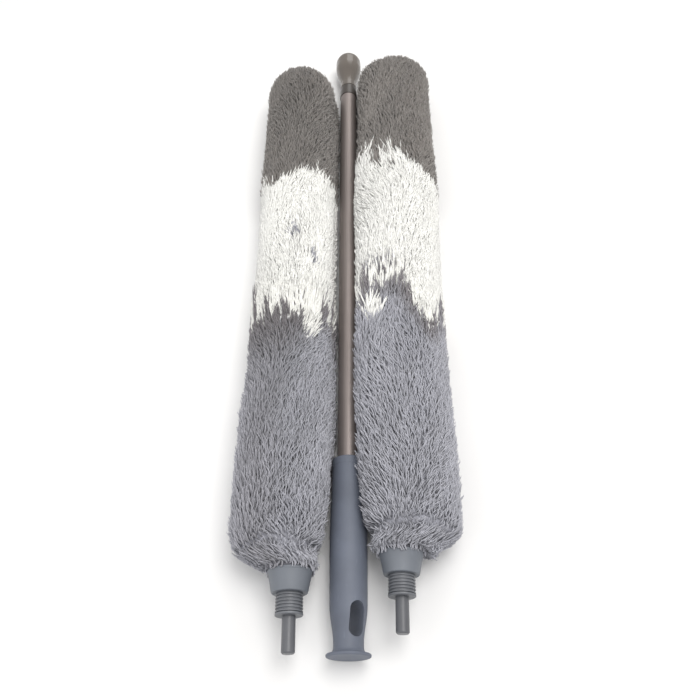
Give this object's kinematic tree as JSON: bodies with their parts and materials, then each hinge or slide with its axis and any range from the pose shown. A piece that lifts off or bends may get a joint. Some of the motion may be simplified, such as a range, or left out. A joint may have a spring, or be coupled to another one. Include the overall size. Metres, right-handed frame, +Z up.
{
  "type": "feather duster",
  "caption": "Telescopic twist-lock duster pole lying between loose screw-on microfibre heads with long grey and white pile.",
  "frame": {"origin": "middle of the whole set's box, on the floor it lies on", "axes": "+Y along the pole from the grip to the head socket, +Z up from the floor, +X towards the right head"},
  "size_m": [0.187, 0.701, 0.0665],
  "materials": {
    "tube_metal": "satin",
    "grip_plastic": "satin",
    "bush_plastic": "satin",
    "lock_plastic": "matte",
    "socket_plastic": "gloss",
    "connector_plastic": "satin",
    "pin_plastic": "satin",
    "core_plastic": "matte",
    "rivet_steel": "satin",
    "pile_grey": "matte",
    "pile_white": "matte",
    "pile_dark_grey": "matte",
    "backing_cloth": "matte"
  },
  "bodies": {
    "pole": {"handle_grip": "grip_plastic", "outer_tube": "tube_metal", "tube_end_plug": "lock_plastic", "outer_mouth_bush": "bush_plastic"},
    "middle_lock": {"middle_lock_sleeve": "lock_plastic"},
    "middle_cone": {"middle_lock_cone": "lock_plastic"},
    "middle_section": {"middle_tube": "tube_metal", "middle_mouth_bush": "bush_plastic", "middle_lock_stud": "lock_plastic"},
    "inner_lock": {"inner_lock_sleeve": "lock_plastic"},
    "inner_cone": {"inner_lock_cone": "lock_plastic"},
    "inner_section": {"inner_tube": "tube_metal", "inner_lock_stud": "lock_plastic", "head_socket": "socket_plastic", "socket_rivet": "rivet_steel"},
    "left_head": {"left_pile_lower": "pile_grey", "left_pile_middle": "pile_white", "left_pile_upper": "pile_dark_grey", "left_backing_sleeve": "backing_cloth", "left_core_tube": "core_plastic", "left_tip_plug": "core_plastic", "left_hem_band": "backing_cloth", "left_collar": "connector_plastic", "left_screw_plug": "connector_plastic", "left_spigot_pin": "pin_plastic", "left_retaining_pin": "rivet_steel"},
    "right_head": {"right_pile_lower": "pile_grey", "right_pile_middle": "pile_white", "right_pile_upper": "pile_dark_grey", "right_backing_sleeve": "backing_cloth", "right_core_tube": "core_plastic", "right_tip_plug": "core_plastic", "right_hem_band": "backing_cloth", "right_collar": "connector_plastic", "right_screw_plug": "connector_plastic", "right_spigot_pin": "pin_plastic", "right_retaining_pin": "rivet_steel"}
  },
  "joints": [
    {"name": "middle_slide", "type": "slide", "parent": "pole", "child": "middle_lock", "axis": [0, 1, 0], "range_m": [0, 0.48]},
    {"name": "middle_twist", "type": "hinge", "parent": "middle_lock", "child": "middle_section", "pos_m": [0.001, 0, 0.017], "axis": [0, 1, 0], "range_deg": [0, 270]},
    {"name": "middle_cone_travel", "type": "slide", "parent": "middle_lock", "child": "middle_cone", "axis": [0, -1, 0], "range_m": [0, 0.0023]},
    {"name": "inner_slide", "type": "slide", "parent": "middle_section", "child": "inner_lock", "axis": [0, 1, 0], "range_m": [0, 0.46]},
    {"name": "inner_twist", "type": "hinge", "parent": "inner_lock", "child": "inner_section", "pos_m": [0.001, 0, 0.017], "axis": [0, 1, 0], "range_deg": [0, 270]},
    {"name": "inner_cone_travel", "type": "slide", "parent": "inner_lock", "child": "inner_cone", "axis": [0, -1, 0], "range_m": [0, 0.0023]},
    {"name": "left_head_lift", "type": "slide", "parent": "pole", "child": "left_head", "axis": [0, 0, 1], "range_m": [0, 0.12]},
    {"name": "right_head_lift", "type": "slide", "parent": "pole", "child": "right_head", "axis": [0, 0, 1], "range_m": [0, 0.12]}
  ],
  "couplings": [
    {"joint": "middle_cone_travel", "follows": "middle_twist", "m_per_rad": 0.00047746},
    {"joint": "inner_cone_travel", "follows": "inner_twist", "m_per_rad": 0.00047746}
  ]
}
